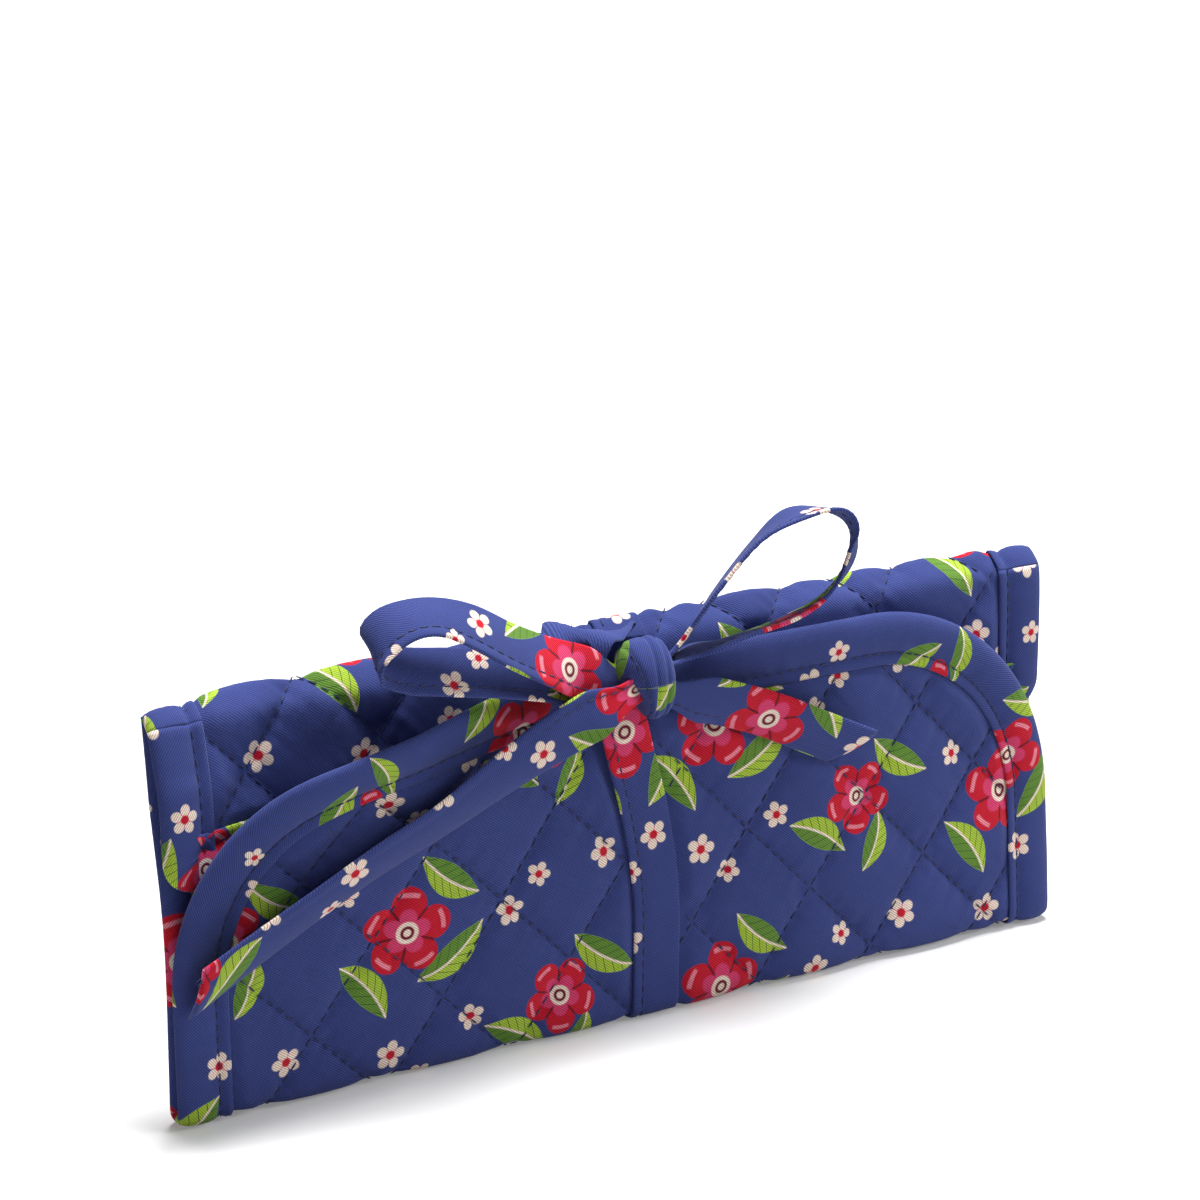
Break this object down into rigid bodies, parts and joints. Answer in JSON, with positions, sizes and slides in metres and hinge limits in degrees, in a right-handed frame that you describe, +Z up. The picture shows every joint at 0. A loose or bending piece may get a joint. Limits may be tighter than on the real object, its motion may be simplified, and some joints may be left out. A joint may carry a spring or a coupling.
{
  "type": "jewelry roll",
  "caption": "Quilted cloth jewelry roll with bound edges, folded shut, standing on its bottom fold and tied with a cloth bow; unfolds to zipped pockets and a snapped ring bar.",
  "frame": {"origin": "on the resting face under the middle of the bottom fold", "axes": "+X along the roll to the right as seen from the flap, +Y from the flap to the back, +Z up"},
  "size_m": [0.24, 0.0284, 0.1221],
  "materials": {
    "print_cotton": "quilted navy cotton twill with a printed scatter of red blossoms and lime leaves",
    "binding_cotton": "bias tape of the same printed cotton, topstitched",
    "tie_cotton": "folded cotton tie of the same print, stitched along its open edge",
    "lining_cotton": "plain navy cotton",
    "zip_tape": "woven navy zipper tape",
    "zip_teeth": "navy nylon zipper coil",
    "pad_cotton": "plain deep red cotton over stuffing",
    "nickel": "nickel plate"
  },
  "bodies": {
    "base": {"base_quilt": "print_cotton", "base_lining": "lining_cotton", "base_binding_left": "binding_cotton", "base_binding_right": "binding_cotton", "tie_under": "tie_cotton"},
    "flap": {"flap_quilt": "print_cotton", "flap_lining": "lining_cotton", "flap_binding": "binding_cotton", "flap_pocket_facing": "lining_cotton", "flap_pocket": "lining_cotton", "flap_zip_tape_upper": "zip_tape", "flap_zip_tape_lower": "zip_tape", "flap_zip_teeth_upper": "zip_teeth", "flap_zip_teeth_lower": "zip_teeth", "flap_zip_stop_closed": "nickel", "flap_zip_stop_open": "nickel", "tie_front": "tie_cotton", "tie_over_flap": "tie_cotton", "bow_knot": "tie_cotton", "bow_loop_left": "tie_cotton", "bow_loop_right": "tie_cotton", "bow_tail_left": "tie_cotton", "bow_tail_right": "tie_cotton"},
    "back": {"back_quilt": "print_cotton", "back_lining": "lining_cotton", "back_binding_left": "binding_cotton", "back_binding_right": "binding_cotton", "back_pocket": "lining_cotton", "back_pocket_facing": "lining_cotton", "back_zip_tape_upper": "zip_tape", "back_zip_tape_lower": "zip_tape", "back_zip_teeth_upper": "zip_teeth", "back_zip_teeth_lower": "zip_teeth", "back_zip_stop_closed": "nickel", "back_zip_stop_open": "nickel", "ring_bar_anchor": "pad_cotton", "snap_stud": "nickel", "tie_back": "tie_cotton"},
    "top": {"top_quilt": "print_cotton", "top_lining": "lining_cotton", "top_binding_left": "binding_cotton", "top_binding_right": "binding_cotton", "tie_top": "tie_cotton"},
    "leaf": {"leaf_quilt": "print_cotton", "leaf_lining": "lining_cotton", "leaf_binding": "binding_cotton"},
    "ring_bar": {"ring_bar": "pad_cotton", "ring_bar_tab": "pad_cotton", "snap_socket": "nickel", "snap_cap": "nickel"},
    "flap_slider": {"flap_zip_slider": "nickel"},
    "flap_pull": {"flap_zip_pull": "nickel"},
    "back_slider": {"back_zip_slider": "nickel"},
    "back_pull": {"back_zip_pull": "nickel"}
  },
  "joints": [
    {"name": "flap_fold", "type": "hinge", "parent": "base", "child": "flap", "pos_m": [0, -0.0047, 0.0014], "axis": [1, 0, 0], "range_deg": [0, 75]},
    {"name": "back_fold", "type": "hinge", "parent": "base", "child": "back", "pos_m": [0, 0.0047, 0.0014], "axis": [-1, 0, 0], "range_deg": [0, 85.86]},
    {"name": "top_fold", "type": "hinge", "parent": "back", "child": "top", "pos_m": [0, 0.01155, 0.09615], "axis": [-1, 0, 0], "range_deg": [0, 129.14]},
    {"name": "leaf_fold", "type": "hinge", "parent": "top", "child": "leaf", "pos_m": [0, 0.00555, 0.09195], "axis": [-1, 0, 0], "range_deg": [0, 52.01]},
    {"name": "ring_bar_lift", "type": "hinge", "parent": "back", "child": "ring_bar", "pos_m": [-0.042, 0.00434, 0.05055], "axis": [0, -0.0721, -0.9974], "range_deg": [0, 43]},
    {"name": "flap_zip_run", "type": "slide", "parent": "flap", "child": "flap_slider", "axis": [1, 0, 0], "range_m": [0, 0.185]},
    {"name": "back_zip_run", "type": "slide", "parent": "back", "child": "back_slider", "axis": [-1, 0, 0], "range_m": [0, 0.185]},
    {"name": "flap_pull_swing", "type": "hinge", "parent": "flap_slider", "child": "flap_pull", "pos_m": [-0.0928, 0.00068, 0.01714], "axis": [0, -0.9986, 0.0523], "range_deg": [-40, 40]},
    {"name": "back_pull_swing", "type": "hinge", "parent": "back_slider", "child": "back_pull", "pos_m": [0.0928, 0.00254, 0.03464], "axis": [0, 0.9974, -0.0721], "range_deg": [-40, 40]}
  ],
  "couplings": [
    {"joint": "top_fold", "follows": "back_fold", "ratio": 1.5039},
    {"joint": "leaf_fold", "follows": "back_fold", "ratio": 0.6056},
    {"joint": "ring_bar_lift", "follows": "back_fold", "ratio": 0.5}
  ]
}
